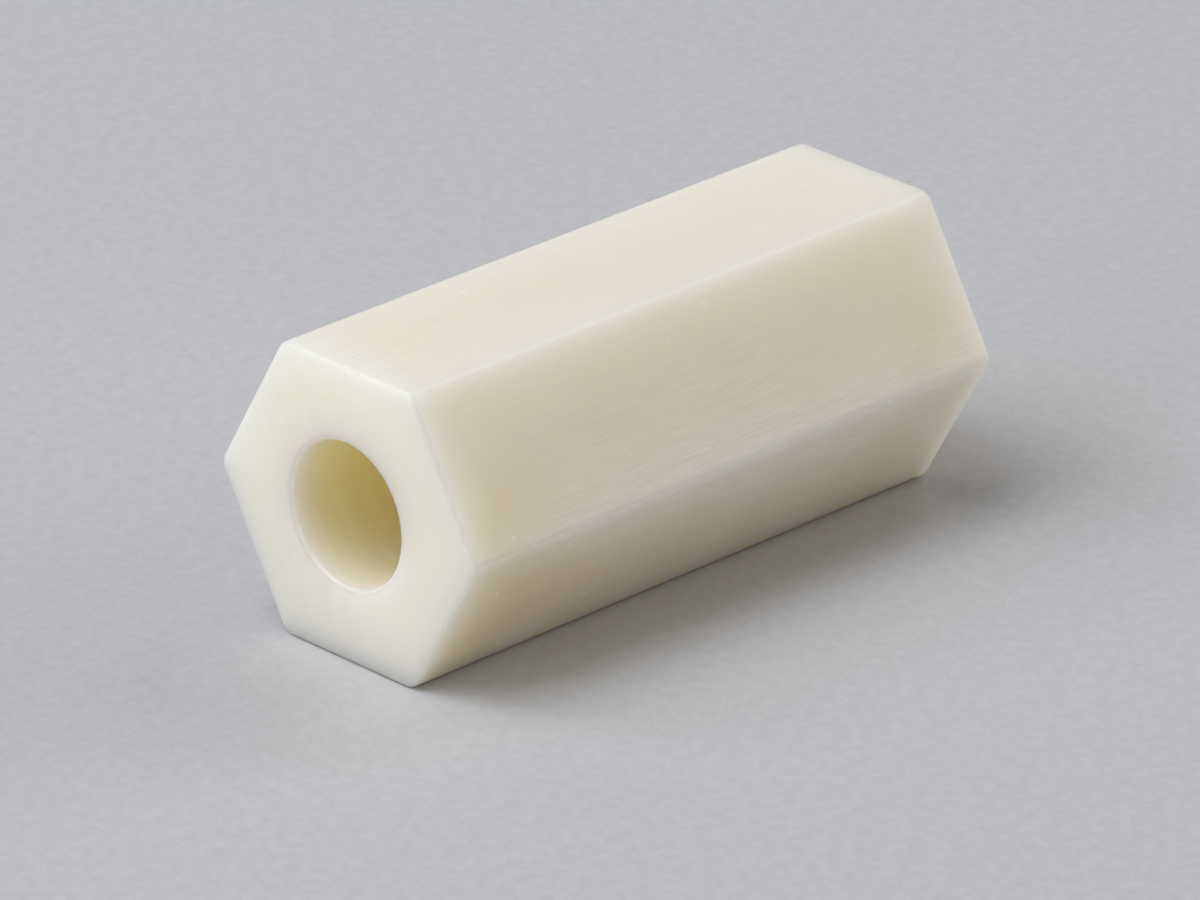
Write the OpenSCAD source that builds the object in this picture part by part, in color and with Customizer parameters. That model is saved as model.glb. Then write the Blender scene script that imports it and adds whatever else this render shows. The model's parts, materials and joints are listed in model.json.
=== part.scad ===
// Hex standoff: a spacer cut from nylon hexagon bar, with a plain bore from end to end for a screw.
// It lies on one of its flats, with its length along X. Z = 0 is the surface under it.

/* [Hexagon bar] */
// Distance between opposite flats, which is the spanner size
across_flats = 7; // [5:0.5:14]
// Length from end face to end face
standoff_length = 16; // [4:0.5:60]
// Radius along the six long corners
corner_radius = 0.35; // [0.1:0.05:1]
// Radius around the rim of each end face
rim_radius = 0.15; // [0.05:0.05:0.5]

/* [Bore] */
// Diameter of the bore, which clears the screw
bore_diameter = 3.4; // [1.6:0.1:5]
// Radius at each mouth of the bore, which leads the screw in
mouth_radius = 0.25; // [0.05:0.05:0.6]

/* [Hidden] */

// Segments of a round shape where it is drawn as a mesh
$fn = 96;

// Natural nylon
nylon = "#e4dcc8";

// A hexagon's corners, and its pairs of opposite flats
corner_count = 6;
flat_pairs = corner_count / 2;
corner_step = 360 / corner_count;

// Width of the plane part of a flat, between two rounded corners
flat_width = (across_flats - 2 * corner_radius) * tan(corner_step / 2);

// Distance from the bar's axis to the centre of a corner's rounding
corner_reach = (across_flats / 2 - corner_radius) / cos(corner_step / 2);

// The bore's wall, from the bore to the middle of a flat
bore_radius = bore_diameter / 2;
wall_thickness = across_flats / 2 - bore_radius;

// Length past each end that a cut or a blank runs, so that no two faces lie in one plane there
overrun = across_flats / 4;

// Rectangle with rounded corners, around the origin
module rounded_rectangle(width, height, radius) {
    square([width - 2 * radius, height], center = true);
    square([width, height - 2 * radius], center = true);
    for (x = [-1, 1], y = [-1, 1])
        translate([x * (width / 2 - radius), y * (height / 2 - radius)])
            circle(radius);
}

// Section of the bar: a hexagon with rounded corners and two level flats, around the origin
module hexagon_section() {
    for (i = [0 : flat_pairs - 1])
        rotate(i * corner_step)
            square([flat_width, across_flats], center = true);
    for (i = [0 : corner_count - 1])
        rotate(i * corner_step)
            translate([corner_reach, 0])
                circle(corner_radius);
}

// Bar longer than the standoff, along X
module hexagon_bar() {
    rotate([90, 0, 90])
        linear_extrude(standoff_length + 2 * overrun, center = true)
            hexagon_section();
}

// Slab between two opposite flats, cut to length, with its end edges rounded
module flat_pair_slab() {
    rotate([90, 0, 0])
        linear_extrude(2 * across_flats, center = true)
            rounded_rectangle(standoff_length, across_flats, rim_radius);
}

// What the wall leaves free around the axis: the bore with a rounded mouth at each end
module bore_space() {
    cut_length = standoff_length + 2 * overrun;
    rotate([0, 90, 0])
        rotate_extrude()
            difference() {
                translate([0, -cut_length / 2])
                    square([bore_radius + mouth_radius, cut_length]);
                translate([bore_radius + wall_thickness / 2, 0])
                    rounded_rectangle(wall_thickness, standoff_length, mouth_radius);
            }
}

module standoff_body() {
    color(nylon)
        translate([0, 0, across_flats / 2])
            difference() {
                intersection() {
                    hexagon_bar();
                    intersection_for (i = [0 : flat_pairs - 1])
                        rotate([i * corner_step, 0, 0])
                            flat_pair_slab();
                }
                bore_space();
            }
}

standoff_body();
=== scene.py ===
# %% [markdown]
# # A hex standoff in natural nylon
#
# A hex standoff is a short length of hexagon bar with a hole from end to end. It holds two boards a set
# distance apart while a screw passes through it. This one is plain nylon, the colour of ivory, and it
# lies on one of its six flats. There is only one piece, so the whole lesson is about edges, finish and
# light.
#
# The CAD model gives the size and place. Its frame is loaded first, and every number below that can be
# read from it is read from it.

import json
import math

import bmesh
import bpy
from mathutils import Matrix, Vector


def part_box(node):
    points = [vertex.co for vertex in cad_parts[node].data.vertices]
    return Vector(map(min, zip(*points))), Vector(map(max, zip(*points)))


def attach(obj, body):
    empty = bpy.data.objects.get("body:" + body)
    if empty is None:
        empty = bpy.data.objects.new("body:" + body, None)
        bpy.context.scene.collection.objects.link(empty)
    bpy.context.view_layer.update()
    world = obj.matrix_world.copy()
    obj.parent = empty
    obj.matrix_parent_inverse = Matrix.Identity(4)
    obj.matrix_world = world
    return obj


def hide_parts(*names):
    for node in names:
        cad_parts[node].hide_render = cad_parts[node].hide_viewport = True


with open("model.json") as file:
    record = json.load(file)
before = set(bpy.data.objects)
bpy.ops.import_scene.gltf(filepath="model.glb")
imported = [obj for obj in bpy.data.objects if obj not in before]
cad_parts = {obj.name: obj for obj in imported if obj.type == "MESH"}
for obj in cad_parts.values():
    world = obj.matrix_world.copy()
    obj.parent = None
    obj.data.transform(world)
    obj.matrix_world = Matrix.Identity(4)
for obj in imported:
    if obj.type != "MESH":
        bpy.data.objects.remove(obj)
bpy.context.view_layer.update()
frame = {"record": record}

MM = 0.001
NODE = "standoff_body"

low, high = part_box(NODE)
length = high.x - low.x
across_flats = high.z - low.z
axis_height = (low.z + high.z) / 2
bore_mount = next(m for m in frame["record"]["mounts"] if m["name"] == "screw_bore")
bore_radius = bore_mount["dims"]["r_mm"] * MM
print(f"standoff: {length / MM:.2f} mm long, {across_flats / MM:.2f} mm across flats,"
      f" bore {2 * bore_radius / MM:.2f} mm")

# %% [markdown]
# ## The hexagon's outline
#
# A real bar is drawn through a die, so its six long corners are slightly round. A ring of six points is
# the quickest start, because bevelling its points gives all six roundings at once, before there is any
# wall to bevel. The radius isn't stored in the frame, but it can be worked out: the more a corner is
# rounded, the narrower the bar is from corner to corner.

# %% Ring of six points with rounded corners
HALF_CORNER = math.radians(30)
CORNER_STEPS = 8
FLAT_CUTS = 23
ROUND_PROFILE = 0.5

sharp_reach = across_flats / 2 / math.cos(HALF_CORNER)
corner_radius = (sharp_reach - (high.y - low.y) / 2) / (1 / math.cos(HALF_CORNER) - 1)


def select_edges(mesh, wanted):
    """Selects the edges for which wanted(edge) is true, in edit mode, and nothing else."""
    bpy.ops.mesh.select_all(action="DESELECT")
    work = bmesh.from_edit_mesh(mesh)
    chosen = [edge for edge in work.edges if wanted(edge)]
    for edge in chosen:
        edge.select_set(True)
    bmesh.update_edit_mesh(mesh)
    return len(chosen)


def is_flat(edge):
    """A flat of the outline is far longer than one step of a corner."""
    return edge.calc_length() > across_flats / 4


bpy.ops.object.select_all(action="DESELECT")
bpy.ops.mesh.primitive_circle_add(
    vertices=6, radius=sharp_reach, location=(low.x, 0, axis_height), rotation=(0, math.radians(90), 0)
)
standoff = bpy.context.object
standoff.name = "nylon_standoff"
bpy.ops.object.transform_apply(location=True, rotation=True, scale=True)
shape = standoff.data

bpy.ops.object.mode_set(mode="EDIT")
bpy.ops.mesh.select_mode(type="EDGE")
bpy.ops.mesh.select_all(action="SELECT")
bpy.ops.mesh.bevel(
    affect="VERTICES",
    offset=corner_radius * math.tan(HALF_CORNER),
    segments=CORNER_STEPS,
    profile=ROUND_PROFILE,
    clamp_overlap=False,
)
select_edges(shape, is_flat)
bpy.ops.mesh.subdivide(number_cuts=FLAT_CUTS)
ring_size = len(bmesh.from_edit_mesh(shape).verts)
print(f"outline: {ring_size} points, corners rounded to {corner_radius / MM:.2f} mm")

# %% [markdown]
# ## The bar
#
# The die gives the bar its section, and the saw gives it its length. The ring is extruded once along
# the bar. The long edges are then cut up, so that the wall is made of small faces, which the rounding
# of the rims and a smooth shading both need.

# %% Extrude the bar
LENGTH_CUTS = 99

bpy.ops.mesh.select_all(action="SELECT")
bpy.ops.mesh.extrude_region_move(TRANSFORM_OT_translate={"value": (length, 0, 0)})
long_edges = select_edges(shape, lambda edge: edge.calc_length() > length / 2)
bpy.ops.mesh.subdivide(number_cuts=LENGTH_CUTS)
print(f"bar: {long_edges} long edges, {len(bmesh.from_edit_mesh(shape).faces)} faces")

# %% [markdown]
# ## The ends and the bore
#
# Each end is cut square and drilled. Each open end is extruded without moving it, pulled into a circle
# and shrunk to the bore, which gives a flat end face with its edges running straight from the rim to
# the hole. A bridge between the two circles is the wall of the bore. A boolean with a cylinder would
# cut the same hole, but it leaves long thin triangles that catch the light.

# %% Close the ends and bridge the bore
BORE_CUTS = 47
SAME_PLACE = 1e-7


def distance_from_axis(point):
    return math.hypot(point.y, point.z - axis_height)


def lies_at(edge, x):
    return all(abs(v.co.x - x) < SAME_PLACE for v in edge.verts)


for end_x in (low.x, high.x):
    select_edges(shape, lambda edge: lies_at(edge, end_x))
    bpy.ops.mesh.extrude_region_move()
    bpy.ops.transform.tosphere(value=1)
    work = bmesh.from_edit_mesh(shape)
    circle = [distance_from_axis(v.co) for v in work.verts if v.select]
    print(f"circle at x = {end_x / MM:.2f} mm: {len(circle)} points, radius {min(circle) / MM:.4f}"
          f" to {max(circle) / MM:.4f} mm")
    shrink = bore_radius / max(circle)
    bpy.ops.transform.resize(value=(1, shrink, shrink), center_override=(end_x, 0, axis_height))

select_edges(shape, lambda edge: edge.is_boundary)
bpy.ops.mesh.bridge_edge_loops(number_cuts=BORE_CUTS)
bpy.ops.mesh.select_all(action="SELECT")
bpy.ops.mesh.normals_make_consistent(inside=False)
print(f"bored bar: {len(bmesh.from_edit_mesh(shape).faces)} faces")

# %% [markdown]
# ## Rounded rims and mouths
#
# No cut plastic edge is quite sharp. The rims of the two end faces catch the light as a thin bright
# line. The mouths of the bore look crisper in the photograph than the lead-in of the CAD model, so they
# get a smaller radius here. A bevel modifier would round every edge of the bar by the same amount, so
# these are edge bevels of a circular profile. A circle halfway through the wall tells a rim from a
# mouth.

# %% Bevel rims and mouths
RIM_RADIUS = 0.15 * MM
RIM_STEPS = 6
MOUTH_RADIUS = 0.10 * MM
MOUTH_STEPS = 6
END_RING_CUTS = 9
SMOOTH_BELOW = math.radians(30)

half_wall_radius = (bore_radius + across_flats / 2) / 2


def reach_at_an_end(edge):
    """How near to the axis an edge of an end face comes and how far from it, or None for another edge."""
    if not (lies_at(edge, low.x) or lies_at(edge, high.x)):
        return None
    return sorted(distance_from_axis(v.co) for v in edge.verts)


def on_rim(edge):
    reach = reach_at_an_end(edge)
    return reach is not None and reach[0] > half_wall_radius


def on_mouth(edge):
    reach = reach_at_an_end(edge)
    return reach is not None and reach[1] < half_wall_radius


def is_spoke(edge):
    reach = reach_at_an_end(edge)
    return reach is not None and reach[0] < half_wall_radius < reach[1]


def round_edges(radius, steps):
    bpy.ops.mesh.bevel(
        affect="EDGES", offset=radius, segments=steps, profile=ROUND_PROFILE, clamp_overlap=False
    )


rim_edges = select_edges(shape, on_rim)
round_edges(RIM_RADIUS, RIM_STEPS)
mouth_edges = select_edges(shape, on_mouth)
round_edges(MOUTH_RADIUS, MOUTH_STEPS)
spokes = select_edges(shape, is_spoke)
bpy.ops.mesh.subdivide(number_cuts=END_RING_CUTS)
bpy.ops.object.mode_set(mode="OBJECT")
bpy.ops.object.shade_smooth_by_angle(angle=SMOOTH_BELOW)
print(f"bevelled {rim_edges} rim edges and {mouth_edges} mouth edges, cut {spokes} spokes")
triangles = sum(len(p.vertices) - 2 for p in shape.polygons)
print(f"standoff: {len(shape.polygons)} faces, {triangles} triangles")

# %% [markdown]
# ## Shared effects
#
# Natural nylon isn't one flat tone. It is cloudy inside, it carries fine lines, specks of dust cling to
# it, and its edges are paler. Every finish uses these effects, so each of them is a node group with its
# own inputs. The groups only put out masks, and the shader stays in the material. A few helpers keep
# the node trees readable.

# %% Helpers for building node trees
def put(tree, kind, inputs=None, **settings):
    """Adds a node with its settings. An input that is given a socket is linked, and any other is set."""
    made = tree.nodes.new(kind)
    for name, value in settings.items():
        setattr(made, name, value)
    for name, value in (inputs or {}).items():
        if isinstance(name, int):
            inlet = made.inputs[name]
        else:
            inlet = next(i for i in made.inputs if i.enabled and i.name == name)
        if isinstance(value, bpy.types.NodeSocket):
            tree.links.new(value, inlet)
        else:
            inlet.default_value = value
    return made


def outlet(made, name=None):
    """The node's output of that name, or its first one in use."""
    return next(o for o in made.outputs if o.enabled and name in (None, o.name))


def calculate(tree, operation, *values):
    """The result of one Math node."""
    return outlet(put(tree, "ShaderNodeMath", dict(enumerate(values)), operation=operation))


def combine(tree, operation, *vectors):
    """The result of one Vector Math node."""
    return outlet(put(tree, "ShaderNodeVectorMath", dict(enumerate(vectors)), operation=operation))


def noise(tree, place, scale, detail, **more):
    """The value of a Noise Texture node, around one half."""
    inputs = {"Vector": place, "Scale": scale, "Detail": detail, **more}
    return outlet(put(tree, "ShaderNodeTexNoise", inputs), "Fac")


def remap(tree, value, low_in, high_in, low_out=0.0, high_out=1.0):
    """A value carried from one range to another, and held inside it."""
    ends = {"From Min": low_in, "From Max": high_in, "To Min": low_out, "To Max": high_out}
    return outlet(put(tree, "ShaderNodeMapRange", {"Value": value, **ends}))


def start_group(name, inputs, outputs):
    """A shader node group with its inputs, given as socket kind and first value, and its float outputs."""
    tree = bpy.data.node_groups.new(name, "ShaderNodeTree")
    for socket, (kind, value) in inputs.items():
        tree.interface.new_socket(socket, in_out="INPUT", socket_type=kind).default_value = value
    for socket in outputs:
        tree.interface.new_socket(socket, in_out="OUTPUT", socket_type="NodeSocketFloat")
    return tree, tree.nodes.new("NodeGroupInput").outputs


def end_group(tree, results):
    """Links the group's outputs to their sockets."""
    put(tree, "NodeGroupOutput", results)
    print(f"group {tree.name}: {len(tree.nodes)} nodes, puts out {', '.join(results)}")
    return tree


# %% [markdown]
# ## Clouding, yellowing and painted shade
#
# Inside, natural nylon has soft clouds, and its drawn skin yellows a little with age, in wide patches.
# An image could show both, but it would fit this one bar. Noise on the bar's own coordinates fits a bar
# of any length. The wide patches have their own number of patches along each axis, so that they are
# drawn out along the bar, and they are moved to a place in the pattern where they lie about as in the
# photograph. There they lie mostly on the lower slanted flat at -Y, which is in shade, so they darken
# and warm it as painted shade as well as yellowing.

# %% Clouding, soft clouds and wide patches of yellowing and painted shade
VECTOR = ("NodeSocketVector", (0, 0, 0))
CLOUD_CONTRAST = (0.3, 0.7)
# The shift puts the wide patches mostly on the shaded lower slanted flat at -Y: painted shade as well as
# yellowing.
YELLOW_AND_SHADE_SHIFT = (0.203, 0.016, 0.27)
YELLOW_AND_SHADE_PATCHES = (40, 150, 150)
YELLOW_AND_SHADE_CONTRAST = (0.4, 0.58)


def moved_noise(tree, place, shift, patches_per_metre):
    """Noise with its own number of patches along each axis, moved to another place in the pattern."""
    moved = combine(tree, "ADD", place, shift)
    return noise(tree, combine(tree, "MULTIPLY", moved, patches_per_metre), scale=1, detail=1)


tree, given = start_group(
    "clouding_and_shade", {"Place": VECTOR, "Patches per metre": ("NodeSocketFloat", 400)}, ["Cloud", "Yellow_and_shade"]
)
cloud = noise(tree, given["Place"], given["Patches per metre"], detail=2, Roughness=0.45)
yellow_and_shade = moved_noise(tree, given["Place"], YELLOW_AND_SHADE_SHIFT, YELLOW_AND_SHADE_PATCHES)
clouding_and_shade = end_group(
    tree,
    {"Cloud": remap(tree, cloud, *CLOUD_CONTRAST), "Yellow_and_shade": remap(tree, yellow_and_shade, *YELLOW_AND_SHADE_CONTRAST)},
)

# %% [markdown]
# ## Streaks
#
# Drawing leaves fine lines along the bar, and sawing and drilling leave finer ones on the ends and in
# the bore. Noise that is squeezed across the lines and stretched along them looks like that, and a wave
# texture would be too regular. A second, coarse noise says where the lines are strong, because on the
# bar they come and go.

# %% Streaks, the fine lines left by drawing or cutting
LINE_CONTRAST = (0.25, 0.75)
PATCH_SHIFT = (0.172, 0.007, 0.189)
PATCH_CONTRAST = (0.35, 0.65)
PATCHES = ("NodeSocketVector", (90, 300, 300))

tree, given = start_group(
    "streaks", {"Place": VECTOR, "Lines per metre": VECTOR, "Patches per metre": PATCHES}, ["Line", "Patch"]
)
stretched = combine(tree, "MULTIPLY", given["Place"], given["Lines per metre"])
line = noise(tree, stretched, scale=1, detail=2, Roughness=0.55)
patch = moved_noise(tree, given["Place"], PATCH_SHIFT, given["Patches per metre"])
streaks = end_group(
    tree, {"Line": remap(tree, line, *LINE_CONTRAST), "Patch": remap(tree, patch, *PATCH_CONTRAST)}
)

# %% [markdown]
# ## Flecks
#
# A few tiny pale specks sit on the plastic. Modelling each as a small ball would only add faces. A
# Voronoi texture splits space into cells instead. Each cell has a colour by chance, which picks out a
# few cells, and a small spot round the middle of such a cell is a fleck.

# %% Flecks, a few tiny specks on the surface
CELLS_LEFT_CLEAN = 0.88
FLECK_EDGE = (0.05, 0.13)

tree, given = start_group(
    "flecks", {"Place": VECTOR, "Cells per metre": ("NodeSocketFloat", 1500)}, ["Fleck"]
)
cells = put(tree, "ShaderNodeTexVoronoi", {"Vector": given["Place"], "Scale": given["Cells per metre"]})
chance = outlet(put(tree, "ShaderNodeSeparateColor", {"Color": outlet(cells, "Color")}), "Red")
chosen = calculate(tree, "GREATER_THAN", chance, CELLS_LEFT_CLEAN)
speck = remap(tree, outlet(cells, "Distance"), *FLECK_EDGE, 1, 0)
flecks = end_group(tree, {"Fleck": calculate(tree, "MULTIPLY", chosen, speck)})

# %% [markdown]
# ## Edges
#
# Handling rubs the edges pale and smooth, and close to an edge light has less plastic to cross. These
# masks also place painted light: a pale glow near the edges, a thin painted highlight along them, and
# painted shade round the lip of the bore. The Bevel node finds edges by sending out rays, and
# Pointiness depends on how fine the mesh is. The bar is a plain form, so its own coordinates say how
# far a place is from a corner, an end or the mouth of the bore.

# %% Edges, how close a place is to an edge or to an end
FLAT_TURNS = (0, 60, 120)


def fade(tree, distance, depth):
    """One where the distance is nothing, falling to almost nothing a few depths away."""
    steps = calculate(tree, "DIVIDE", distance, depth)
    return calculate(tree, "EXPONENT", calculate(tree, "MULTIPLY", steps, -1))


def gap(tree, value, wanted):
    """How far a value is from the wanted one, either way."""
    return calculate(tree, "ABSOLUTE", calculate(tree, "SUBTRACT", value, wanted))


def join_all(tree, operation, values):
    """One Math operation over three values."""
    first, second, third = values
    return calculate(tree, operation, calculate(tree, operation, first, second), third)


tree, given = start_group(
    "edges", {"Place": VECTOR, "Depth": ("NodeSocketFloat", 0.8 * MM)}, ["Edge", "Corner", "End", "Lip"]
)
centred = combine(tree, "SUBTRACT", given["Place"], (0, 0, axis_height))
along = outlet(put(tree, "ShaderNodeSeparateXYZ", {"Vector": centred}), "X")
to_end = calculate(tree, "SUBTRACT", length / 2, calculate(tree, "ABSOLUTE", along))
off_axis = combine(tree, "LENGTH", combine(tree, "MULTIPLY", centred, (0, 1, 1)))

# The greatest of the three reaches belongs to the nearest flat, and the second to the flat past the corner
facings = [(0, math.sin(math.radians(turn)), math.cos(math.radians(turn))) for turn in FLAT_TURNS]
reaches = [calculate(tree, "ABSOLUTE", combine(tree, "DOT_PRODUCT", centred, facing)) for facing in facings]
most = join_all(tree, "MAXIMUM", reaches)
least = join_all(tree, "MINIMUM", reaches)
total = join_all(tree, "ADD", reaches)
second = calculate(tree, "SUBTRACT", calculate(tree, "SUBTRACT", total, most), least)
to_flat = calculate(tree, "SUBTRACT", across_flats / 2, most)
to_corner = calculate(tree, "SUBTRACT", across_flats / 2, second)

to_rim = calculate(tree, "MAXIMUM", to_end, to_flat)
to_mouth = calculate(tree, "MAXIMUM", to_end, gap(tree, off_axis, bore_radius))
to_lip = calculate(tree, "MAXIMUM", to_end, gap(tree, off_axis, bore_radius + MOUTH_RADIUS))
to_edge = join_all(tree, "MINIMUM", (to_rim, to_mouth, to_corner))
distances = {"Edge": to_edge, "Corner": to_corner, "End": to_end, "Lip": to_lip}
edges = end_group(
    tree, {mask: fade(tree, distance, given["Depth"]) for mask, distance in distances.items()}
)

# %% [markdown]
# ## Tone of the nylon
#
# The flats were drawn through a die, the ends were cut off, and the bore was drilled, all in the same
# plastic. It is cloudy everywhere, and on the drawn skin a little yellowed. Near the edges and towards
# the ends it is painted paler: a painted glow of the light that gets through the thin plastic there.
# Subsurface scattering makes that glow too, but a model that leaves it out still keeps what is in the
# base colour.

# %% Tone, with a painted glow near the edges and ends, and yellowed patches that also paint shade
# Paler near an edge or an end: a painted glow of light through the thin plastic.
EDGE_PAINTED_GLOW = 0.6
CLOUD_PALENESS = 0.25
# Yellowed tone; where its patches lie on the shaded lower flat it is painted shade as well.
YELLOWING_AND_PAINTED_SHADE = (0.78, 0.665, 0.42, 1)


def blend(tree, factor, first, second, kind="RGBA"):
    """A colour or a number between two others."""
    return outlet(put(tree, "ShaderNodeMix", {"Factor": factor, "A": first, "B": second}, data_type=kind))


def nylon_tone(tree, cloud, thin, pale, warm, end_glow_share, yellow_and_shade_share):
    """The plastic's colour before it is lined or rubbed, with painted glow and painted shade in it."""
    # Painted glow near the ends and edges, with the real cloud added to it.
    painted_end_glow = calculate(tree, "MULTIPLY", outlet(thin, "End"), end_glow_share)
    painted_edge_glow = calculate(tree, "MULTIPLY", outlet(thin, "Edge"), EDGE_PAINTED_GLOW)
    blotch = calculate(tree, "MULTIPLY", outlet(cloud, "Cloud"), CLOUD_PALENESS)
    glow_and_cloud = calculate(tree, "ADD", calculate(tree, "MAXIMUM", painted_end_glow, painted_edge_glow), blotch)
    tone = blend(tree, glow_and_cloud, (*warm, 1), (*pale, 1))
    not_pale = calculate(tree, "SUBTRACT", 1, calculate(tree, "MINIMUM", glow_and_cloud, 1))
    # The yellowed patches: yellowing, and painted shade on the shaded lower flat.
    aged_and_shaded = calculate(tree, "MULTIPLY", outlet(cloud, "Yellow_and_shade"), not_pale)
    return blend(tree, calculate(tree, "MULTIPLY", aged_and_shaded, yellow_and_shade_share), tone, YELLOWING_AND_PAINTED_SHADE)


print(f"tone: yellowed to {YELLOWING_AND_PAINTED_SHADE[:3]}")

# %% [markdown]
# ## Lines on the nylon
#
# The lines show in the colour, in the gloss and in the relief at once, because they are one thing on
# the real bar. So they are worked out once, as a swing around nothing, and each of the three follows
# that swing. They are strongest in patches and beside the long corners.

# %% Lines that come and go
STRONG_PATCH = (0.3, 0.9)
LINE_STRENGTH = (0.18, 1.4)
CORNER_STRENGTH = 0.1
SWING = 0.5


def line_swing(tree, streak, thin):
    """How far a place lies above or below the middle of the lines."""
    strength = remap(tree, outlet(streak, "Patch"), *STRONG_PATCH, *LINE_STRENGTH)
    worn = calculate(tree, "MULTIPLY", outlet(thin, "Corner"), CORNER_STRENGTH)
    strength = calculate(tree, "ADD", strength, worn)
    centred_line = calculate(tree, "SUBTRACT", outlet(streak, "Line"), SWING)
    return calculate(tree, "MULTIPLY", centred_line, strength)


def follow(tree, swing, middle, spread):
    """A value that follows the lines, at most the spread away from its middle."""
    return remap(tree, swing, -SWING, SWING, middle - spread, middle + spread)


def scaled(tree, colour, factor):
    """A colour times a number."""
    return outlet(put(tree, "ShaderNodeVectorMath", {"Vector": colour, "Scale": factor}, operation="SCALE"))


print(f"lines: {LINE_STRENGTH[0]} to {LINE_STRENGTH[1]} times as strong from place to place")

# %% [markdown]
# ## Rubbed edges, painted highlight and shade, and relief
#
# Edges are rubbed paler than the rest, but unevenly, with small chips. That pale line is also a painted
# highlight, standing in for the thin bright line that the edges catch. A thin dark line of painted shade
# runs round the lip of the bore. The relief is far too fine to model, so it is three bumps in a row: a
# fine grain, the lines, and the chips along the edges.

# %% Rubbed edges with a painted highlight, painted shade at the lip, and relief
# Rubbed pale edges, which also carry a painted highlight.
RUBBED_AND_PAINTED_HIGHLIGHT = (0.985, 0.91, 0.78, 1)
RUBBED_HIGHLIGHT_LINE = (0.48, 0.68)
CHIP_CONTRAST = (0.35, 0.65)
LEAST_RUBBED = 0.3
CHIP_DEPTH = 0.025 * MM
# A thin line of painted shade round the lip of the bore.
LIP_PAINTED_SHADE = 0.84
LIP_SHARPNESS = 3
GRAIN_PER_METRE = 9000
GRAIN_DEPTH = 0.0006 * MM


def rubbed_and_highlight_tone(tree, tone, rubbed, chips):
    """The colour with a rubbed, painted highlight on its edges and painted shade at the lip of the bore."""
    uneven = remap(tree, chips, *CHIP_CONTRAST, LEAST_RUBBED, 1)
    # The pale line along the edges: rubbed wear and a painted highlight at once.
    rubbed_highlight_line = remap(tree, outlet(rubbed, "Edge"), *RUBBED_HIGHLIGHT_LINE)
    tone = blend(tree, calculate(tree, "MULTIPLY", rubbed_highlight_line, uneven), tone, RUBBED_AND_PAINTED_HIGHLIGHT)
    # Painted shade: a thin dark line round the lip of the bore.
    lip = calculate(tree, "POWER", outlet(rubbed, "Lip"), LIP_SHARPNESS)
    lip = calculate(tree, "MULTIPLY", lip, uneven)
    return scaled(tree, tone, remap(tree, lip, 0, 1, 1, LIP_PAINTED_SHADE))


def bump(tree, depth, height, **under):
    """A normal with one more relief on it."""
    return outlet(put(tree, "ShaderNodeBump", {"Distance": depth, "Height": height, **under}))


def relief(tree, place, swing, line_depth, rubbed, chips):
    """The normal with the grain, the lines and the chips."""
    normal = bump(tree, GRAIN_DEPTH, noise(tree, place, GRAIN_PER_METRE, detail=2))
    normal = bump(tree, line_depth, swing, Normal=normal)
    chipped = calculate(tree, "MULTIPLY", chips, outlet(rubbed, "Edge"))
    return bump(tree, CHIP_DEPTH, chipped, Normal=normal)


print(f"relief: grain {GRAIN_DEPTH / MM:.4f} mm, chips {CHIP_DEPTH / MM:.3f} mm deep")

# %% [markdown]
# ## Three finishes of one nylon
#
# Three separate materials would drift apart, so one function makes all three, each with its own tones,
# lines and roughness. Light goes into nylon and comes out again a millimetre or two away, warmer than
# it went in. Subsurface scattering does that, and it is what makes the bar look like plastic and not
# like painted wood.

# %% Nylon
SCATTER_RADIUS = (2.5, 2.5, 2.1)
NYLON_IOR = 1.53
SPECULAR_LEVEL = 0.38
PALE_DEPTH = 0.9 * MM
RUBBED_DEPTH = 0.12 * MM
RUBBED_ROUGHNESS = 0.22
ROUGHNESS_SPREAD = 0.06
CHIPS_PER_METRE = 4000
DUST = (0.95, 0.91, 0.81, 1)


def nylon(
    name, pale, warm, roughness, lines_per_metre, line_depth, line_shade, end_glow_share, yellow_and_shade_share
):
    """One finish of the nylon: its tones at an edge and away from it, its roughness, the lines that it
    carries, how far a painted glow pales it towards the ends, and how far it has yellowed, in patches
    that also paint shade."""
    made = bpy.data.materials.new(name)
    made.use_nodes = True
    tree = made.node_tree
    place = outlet(put(tree, "ShaderNodeTexCoord"), "Object")
    lined = {"Place": place, "Lines per metre": lines_per_metre}
    cloud = put(tree, "ShaderNodeGroup", {"Place": place}, node_tree=clouding_and_shade)
    streak = put(tree, "ShaderNodeGroup", lined, node_tree=streaks)
    fleck = put(tree, "ShaderNodeGroup", {"Place": place}, node_tree=flecks)
    thin = put(tree, "ShaderNodeGroup", {"Place": place, "Depth": PALE_DEPTH}, node_tree=edges)
    rubbed = put(tree, "ShaderNodeGroup", {"Place": place, "Depth": RUBBED_DEPTH}, node_tree=edges)
    chips = noise(tree, place, CHIPS_PER_METRE, detail=3)
    swing = line_swing(tree, streak, thin)

    tone = nylon_tone(tree, cloud, thin, pale, warm, end_glow_share, yellow_and_shade_share)
    tone = scaled(tree, tone, follow(tree, swing, 1, line_shade))
    tone = blend(tree, outlet(fleck), tone, DUST)
    tone = rubbed_and_highlight_tone(tree, tone, rubbed, chips)
    rough = follow(tree, swing, roughness, ROUGHNESS_SPREAD)
    rough = blend(tree, outlet(rubbed, "Edge"), rough, RUBBED_ROUGHNESS, kind="FLOAT")
    normal = relief(tree, place, swing, line_depth, rubbed, chips)

    shader = tree.nodes["Principled BSDF"]
    tree.links.new(tone, shader.inputs["Base Color"])
    tree.links.new(rough, shader.inputs["Roughness"])
    tree.links.new(normal, shader.inputs["Normal"])
    shader.inputs["IOR"].default_value = NYLON_IOR
    shader.inputs["Specular IOR Level"].default_value = SPECULAR_LEVEL
    shader.inputs["Subsurface Weight"].default_value = 1
    shader.inputs["Subsurface Radius"].default_value = SCATTER_RADIUS
    shader.inputs["Subsurface Scale"].default_value = MM
    print(f"finish {name}: {len(tree.nodes)} nodes")
    return made


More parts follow.
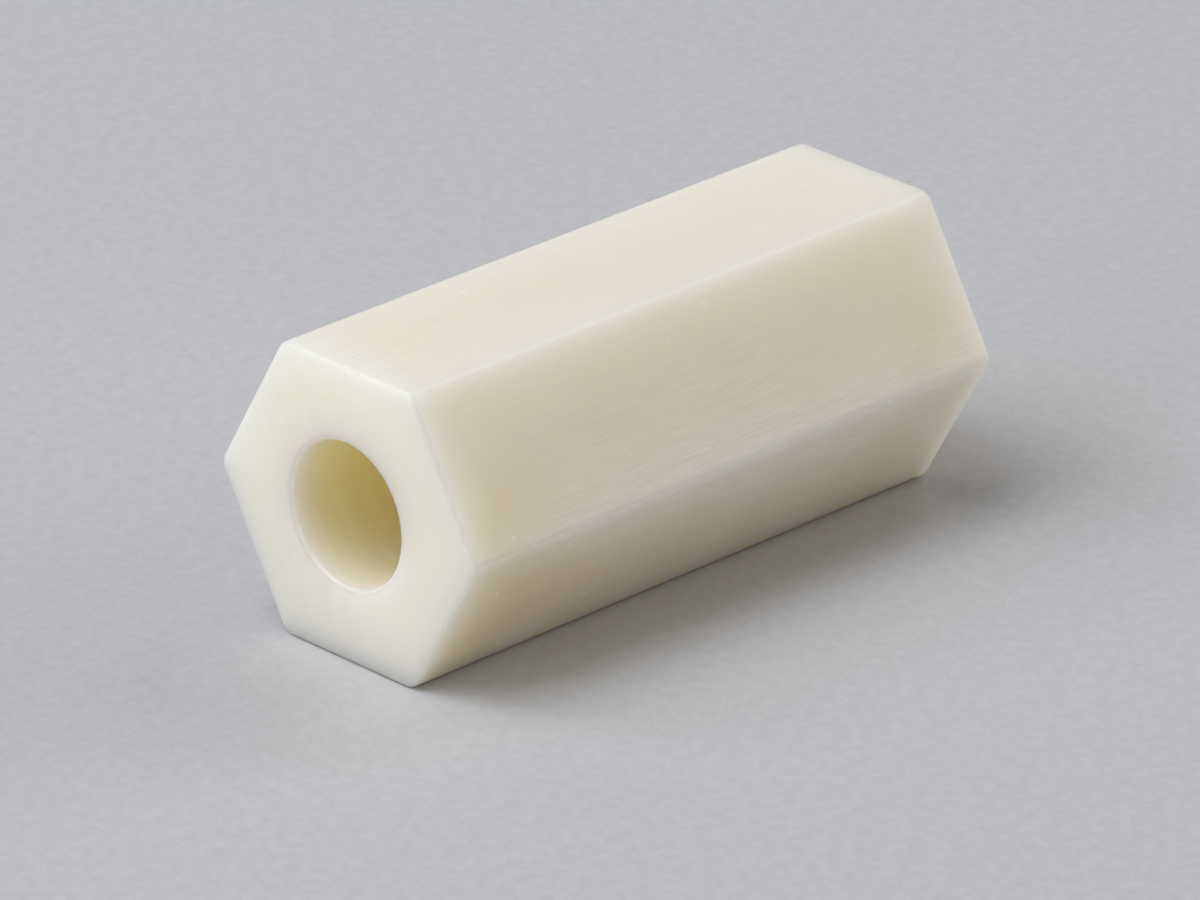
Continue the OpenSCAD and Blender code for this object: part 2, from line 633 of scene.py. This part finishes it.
drawn_nylon = nylon(
    "drawn_nylon",
    pale=(0.945, 0.885, 0.775),
    warm=(0.88, 0.805, 0.675),
    roughness=0.40,
    lines_per_metre=(900, 26000, 26000),
    line_depth=0.0015 * MM,
    line_shade=0.06,
    end_glow_share=0.85,
    yellow_and_shade_share=0.85,
)
cut_nylon = nylon(
    "cut_nylon",
    pale=(0.95, 0.87, 0.72),
    warm=(0.95, 0.86, 0.70),
    roughness=0.38,
    lines_per_metre=(2000, 2000, 2000),
    line_depth=0.002 * MM,
    line_shade=0.02,
    end_glow_share=0.0,
    yellow_and_shade_share=0.0,
)
# In the bore the end share paints the mouths paler and leaves the deeper wall warmer: a painted glow of the
# light that gets in at the mouths and through the walls.
bored_nylon = nylon(
    "bored_nylon",
    pale=(0.885, 0.82, 0.69),
    warm=(0.98, 0.86, 0.575),
    roughness=0.36,
    lines_per_metre=(5000, 900, 900),
    line_depth=0.002 * MM,
    line_shade=0.03,
    end_glow_share=1.0,
    yellow_and_shade_share=0.0,
)

# %% [markdown]
# ## Finish for each surface
#
# The three finishes go on by face, as with Assign in the material tab. A face that looks along the bar
# is part of an end, one that is close to the axis is part of the bore, and the rest was drawn. The
# mouths count as bore, so the bore is assigned last.

# %% Assign the finishes
ALONG_THE_BAR = 0.5
BORED_SHARE_OF_MOUTH = 0.98


def is_cut(face):
    return abs(face.normal.x) > ALONG_THE_BAR


def is_bored(face):
    reach = distance_from_axis(face.calc_center_median())
    return reach < bore_radius + MOUTH_RADIUS * BORED_SHARE_OF_MOUTH


for finish in (drawn_nylon, cut_nylon, bored_nylon):
    shape.materials.append(finish)

bpy.ops.object.mode_set(mode="EDIT")
bpy.ops.mesh.select_mode(type="FACE")
for slot, wanted in ((1, is_cut), (2, is_bored)):
    bpy.ops.mesh.select_all(action="DESELECT")
    work = bmesh.from_edit_mesh(shape)
    for face in work.faces:
        if wanted(face):
            face.select_set(True)
    bmesh.update_edit_mesh(shape)
    standoff.active_material_index = slot
    bpy.ops.object.material_slot_assign()
bpy.ops.object.mode_set(mode="OBJECT")
counts = [sum(p.material_index == slot for p in shape.polygons) for slot in range(3)]
print("faces drawn, cut and bored:", counts)

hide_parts(NODE)
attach(standoff, "root")

# %% [markdown]
# ## Floor
#
# The standoff lies on a plain pale grey sheet with a fine grain. One large plane is enough, since its
# edges are out of sight, and the grain is noise in its colour and its relief. The floor is a stage, not
# part of the object.

# %% Floor
FLOOR_SIZE = 1.2
FLOOR_GAP = 0.004 * MM
SHEET_GRAIN_PER_METRE = 3000
SHEET_CONTRAST = (0.3, 0.7)
SHEET_DARK = (0.502, 0.51, 0.534, 1)
SHEET_LIGHT = (0.587, 0.595, 0.62, 1)
SHEET_TOOTH = 0.004 * MM
SHEET_ROUGHNESS = 0.7

bpy.ops.object.select_all(action="DESELECT")
bpy.ops.mesh.primitive_plane_add(size=FLOOR_SIZE, location=(0, 0, low.z - FLOOR_GAP))
floor = bpy.context.object
floor.name = "floor"
bpy.ops.object.transform_apply(location=True, rotation=True, scale=True)

sheet = bpy.data.materials.new("grey_sheet")
sheet.use_nodes = True
tree = sheet.node_tree
place = outlet(put(tree, "ShaderNodeTexCoord"), "Object")
grain = noise(tree, place, SHEET_GRAIN_PER_METRE, detail=6, Roughness=0.75)
grey = blend(tree, remap(tree, grain, *SHEET_CONTRAST), SHEET_DARK, SHEET_LIGHT)
shader = tree.nodes["Principled BSDF"]
tree.links.new(grey, shader.inputs["Base Color"])
tree.links.new(bump(tree, SHEET_TOOTH, grain), shader.inputs["Normal"])
shader.inputs["Roughness"].default_value = SHEET_ROUGHNESS
floor.data.materials.append(sheet)
print(f"floor: {FLOOR_SIZE} m square")

# %% [markdown]
# ## Light
#
# The photograph has the soft, cool light of a large diffuser above and to the left, and a second one
# low on the left that lights the end face. A weaker, warm fill comes from low on the right. Three weak
# lamps give the edges their thin bright lines. An even sky would be simpler, but it leaves no shading
# on the flats. The level of each lamp is set by what it would do to white paper that faces it: a level
# of 1 makes it pure white.

# %% Soft studio light
ROOM_LEVEL = 0.05
ROOM_TINT = (1.0, 0.96, 0.91, 1)
COOL = (0.975, 0.99, 1.025)
WARM = (1.0, 0.93, 0.82)
WHITE = (1, 1, 1)
LIGHT_DISTANCE = 0.5

middle = Vector((0, 0, axis_height))


def way_out(azimuth, elevation):
    """The way from the standoff to a lamp or the camera. Azimuth 0 is in front, along -Y, in degrees."""
    turn, rise = math.radians(azimuth), math.radians(elevation)
    return Vector((math.sin(turn) * math.cos(rise), -math.cos(turn) * math.cos(rise), math.sin(rise)))


def softbox(name, azimuth, elevation, width, level, tint):
    """A square lamp that faces the standoff."""
    away = way_out(azimuth, elevation)
    bpy.ops.object.light_add(type="AREA", location=middle + away * LIGHT_DISTANCE)
    lamp = bpy.context.object
    lamp.name = name
    lamp.rotation_euler = away.to_track_quat("Z", "Y").to_euler()
    lamp.data.size = width
    lamp.data.energy = level * math.pi**2 * LIGHT_DISTANCE**2
    lamp.data.color = tint
    print(f"{name}: level {level}, {lamp.data.energy:.2f} W")


softbox("key_softbox", azimuth=-121, elevation=62, width=0.40, level=0.75, tint=COOL)
softbox("rim_softbox", azimuth=-148, elevation=40, width=0.16, level=0.10, tint=WHITE)
softbox("left_softbox", azimuth=-100, elevation=8, width=0.40, level=0.48, tint=COOL)
softbox("right_softbox", azimuth=60, elevation=20, width=0.40, level=0.45, tint=WARM)
softbox("back_softbox", azimuth=136, elevation=22, width=0.40, level=0.05, tint=WHITE)
softbox("top_softbox", azimuth=93, elevation=51, width=0.14, level=0.08, tint=WHITE)

world = bpy.data.worlds.new("room")
bpy.context.scene.world = world
world.use_nodes = True
world.node_tree.nodes["Background"].inputs["Color"].default_value = ROOM_TINT
world.node_tree.nodes["Background"].inputs["Strength"].default_value = ROOM_LEVEL

# %% [markdown]
# ## Camera
#
# The long edges in the photograph are parallel to within half a degree, so it was taken from far away
# with a long lens. The angles below put the corners of the hexagon on those of the photograph. Light is
# allowed a few more bounces than usual, because it goes in and out of pale plastic many times.

# %% Camera
CAMERA_AZIMUTH = -44.33
CAMERA_ELEVATION = 24.43
CAMERA_DISTANCE = 220.8 * MM
AIM_RIGHT = -0.235 * MM
AIM_UP = -0.893 * MM
LENS = 300
SENSOR = 36
NEAREST_SEEN = 0.01
DIFFUSE_BOUNCES = 8

back = way_out(CAMERA_AZIMUTH, CAMERA_ELEVATION)
turn = math.radians(CAMERA_AZIMUTH)
right = Vector((math.cos(turn), math.sin(turn), 0))
up = back.cross(right)
aim = middle + right * AIM_RIGHT + up * AIM_UP
bpy.ops.object.camera_add(
    location=aim + back * CAMERA_DISTANCE, rotation=back.to_track_quat("Z", "Y").to_euler()
)
camera = bpy.context.object
camera.name = "photo_camera"
camera.data.lens = LENS
camera.data.sensor_width = SENSOR
camera.data.clip_start = NEAREST_SEEN
bpy.context.scene.camera = camera
bpy.context.scene.view_settings.view_transform = "Standard"
bpy.context.scene.cycles.diffuse_bounces = DIFFUSE_BOUNCES
print(f"camera {CAMERA_DISTANCE / MM:.0f} mm away, {LENS} mm lens")
